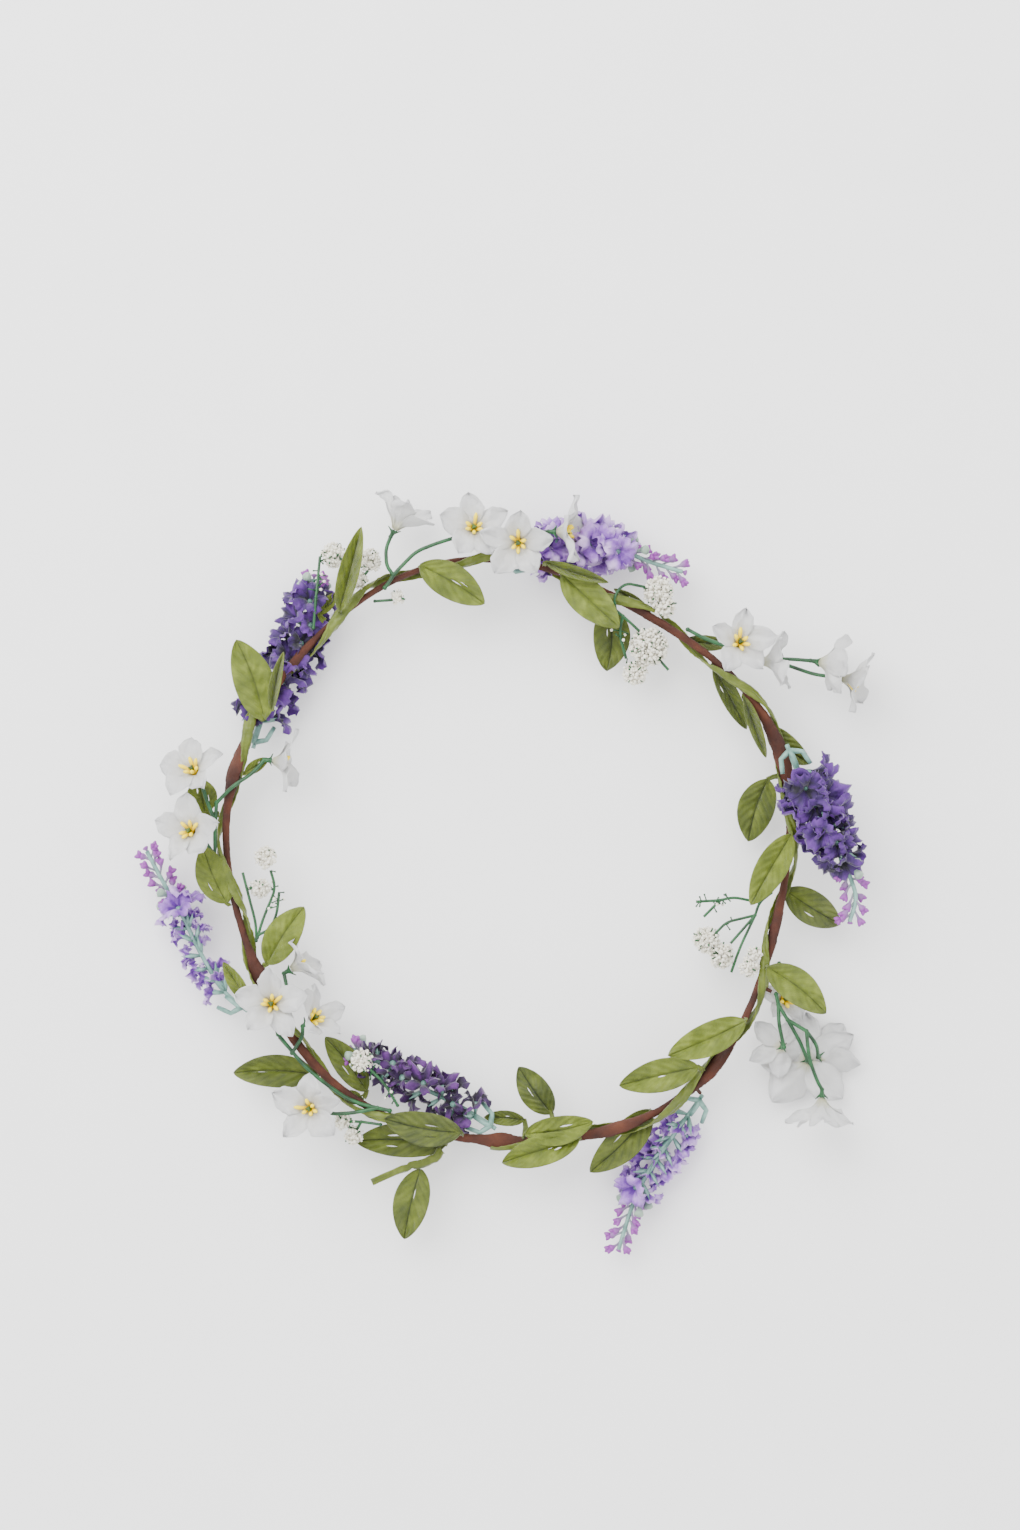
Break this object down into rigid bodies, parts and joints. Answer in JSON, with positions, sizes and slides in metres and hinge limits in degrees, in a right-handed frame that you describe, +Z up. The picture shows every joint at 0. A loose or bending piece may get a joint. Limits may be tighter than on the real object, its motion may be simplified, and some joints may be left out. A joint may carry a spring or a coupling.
{
  "type": "flower crown",
  "caption": "Flower crown for an adult head: a taped wire hoop wound with a green leaf garland and set with white star flowers, lavender sprigs and gypsophila.",
  "frame": {"origin": "centre of the head opening, in the plane of the hoop's wire", "axes": "+Z up from the surface that the crown lies on and towards the top of a wearer's head, +X to the right and +Y away from a viewer who looks down on it"},
  "size_m": [0.2382, 0.2485, 0.0322],
  "materials": {
    "steel_wire": "satin",
    "brown_paper_tape": "matte",
    "green_leaf_fabric": "satin",
    "green_stem_plastic": "matte",
    "yellow_stamen_plastic": "satin",
    "white_petal_fabric": "matte",
    "grey_teal_stem_plastic": "matte",
    "mauve_bud_plastic": "matte",
    "light_purple_floret_fabric": "matte",
    "dark_purple_floret_fabric": "matte",
    "cream_gypsophila_foam": "matte"
  },
  "bodies": {
    "hoop_and_bound_sprays": {"garland_ribbon": "green_leaf_fabric", "hoop_tape": "brown_paper_tape", "hoop_wire": "steel_wire", "leaves_bottom": "green_leaf_fabric", "leaves_left": "green_leaf_fabric", "leaves_lower_left": "green_leaf_fabric", "leaves_lower_right": "green_leaf_fabric", "leaves_right": "green_leaf_fabric", "leaves_top": "green_leaf_fabric", "leaves_upper_left": "green_leaf_fabric", "leaves_upper_right": "green_leaf_fabric", "left_flower_petals": "white_petal_fabric", "left_flower_stamens": "yellow_stamen_plastic", "left_flower_stems": "green_stem_plastic", "left_gypsophila_clusters": "cream_gypsophila_foam", "left_gypsophila_stem": "green_stem_plastic", "lower_left_gypsophila_clusters": "cream_gypsophila_foam", "lower_left_gypsophila_stem": "green_stem_plastic", "lower_left_lavender_buds": "mauve_bud_plastic", "lower_left_lavender_florets": "dark_purple_floret_fabric", "lower_left_lavender_stem": "grey_teal_stem_plastic", "paper_ties": "brown_paper_tape", "right_hoop_flower_petals": "white_petal_fabric", "right_hoop_flower_stamens": "yellow_stamen_plastic", "right_hoop_flower_stems": "green_stem_plastic", "right_hoop_gypsophila_clusters": "cream_gypsophila_foam", "right_lavender_buds": "mauve_bud_plastic", "right_lavender_florets": "dark_purple_floret_fabric", "right_lavender_stem": "grey_teal_stem_plastic", "top_flower_petals": "white_petal_fabric", "top_flower_stamens": "yellow_stamen_plastic", "top_flower_stems": "green_stem_plastic", "top_gypsophila_clusters": "cream_gypsophila_foam", "top_gypsophila_stem": "green_stem_plastic", "top_lavender_buds": "mauve_bud_plastic", "top_lavender_florets": "light_purple_floret_fabric", "top_lavender_stem": "grey_teal_stem_plastic", "upper_left_flower_petals": "white_petal_fabric", "upper_left_flower_stamens": "yellow_stamen_plastic", "upper_left_flower_stems": "green_stem_plastic", "upper_left_gypsophila_clusters": "cream_gypsophila_foam", "upper_left_gypsophila_stem": "green_stem_plastic", "upper_left_lavender_buds": "mauve_bud_plastic", "upper_left_lavender_florets": "dark_purple_floret_fabric", "upper_left_lavender_stem": "grey_teal_stem_plastic"},
    "right_flower_spray": {"right_flower_stems": "green_stem_plastic", "right_flower_stamens": "yellow_stamen_plastic", "right_flower_petals": "white_petal_fabric"},
    "lower_right_flower_spray": {"lower_right_flower_stems": "green_stem_plastic", "lower_right_flower_stamens": "yellow_stamen_plastic", "lower_right_flower_petals": "white_petal_fabric"},
    "bottom_lavender_sprig": {"bottom_lavender_stem": "grey_teal_stem_plastic", "bottom_lavender_buds": "mauve_bud_plastic", "bottom_lavender_florets": "light_purple_floret_fabric"},
    "left_lavender_sprig": {"left_lavender_stem": "grey_teal_stem_plastic", "left_lavender_buds": "mauve_bud_plastic", "left_lavender_florets": "light_purple_floret_fabric"},
    "right_gypsophila_sprig": {"right_gypsophila_stem": "green_stem_plastic", "right_gypsophila_clusters": "cream_gypsophila_foam"},
    "loose_garland_end": {"garland_tail": "green_leaf_fabric"}
  },
  "joints": [
    {"name": "right_flower_spray_bend", "type": "hinge", "parent": "hoop_and_bound_sprays", "child": "right_flower_spray", "pos_m": [0.0713, 0.0631, -0.001], "axis": [0, 0, 1], "range_deg": [-10, 10], "stiffness_Nm_per_rad": 0.004},
    {"name": "lower_right_flower_spray_bend", "type": "hinge", "parent": "hoop_and_bound_sprays", "child": "lower_right_flower_spray", "pos_m": [0.086, -0.0457, 0.001], "axis": [0, 0, 1], "range_deg": [-10, 10], "stiffness_Nm_per_rad": 0.004},
    {"name": "bottom_lavender_sprig_bend", "type": "hinge", "parent": "hoop_and_bound_sprays", "child": "bottom_lavender_sprig", "pos_m": [0.0625, -0.0786, -0.0044], "axis": [0, 0, 1], "range_deg": [-10, 10], "stiffness_Nm_per_rad": 0.004},
    {"name": "left_lavender_sprig_bend", "type": "hinge", "parent": "hoop_and_bound_sprays", "child": "left_lavender_sprig", "pos_m": [-0.0838, -0.0514, -0.0034], "axis": [0, 0, 1], "range_deg": [-8, 8], "stiffness_Nm_per_rad": 0.004},
    {"name": "right_gypsophila_sprig_bend", "type": "hinge", "parent": "hoop_and_bound_sprays", "child": "right_gypsophila_sprig", "pos_m": [0.0846, -0.0134, -0.0034], "axis": [0, 0, 1], "range_deg": [-8, 8], "stiffness_Nm_per_rad": 0.001},
    {"name": "loose_garland_end_bend", "type": "hinge", "parent": "hoop_and_bound_sprays", "child": "loose_garland_end", "pos_m": [-0.0211, -0.0958, 0], "axis": [0, 0, 1], "range_deg": [-15, 15], "stiffness_Nm_per_rad": 0.001}
  ]
}
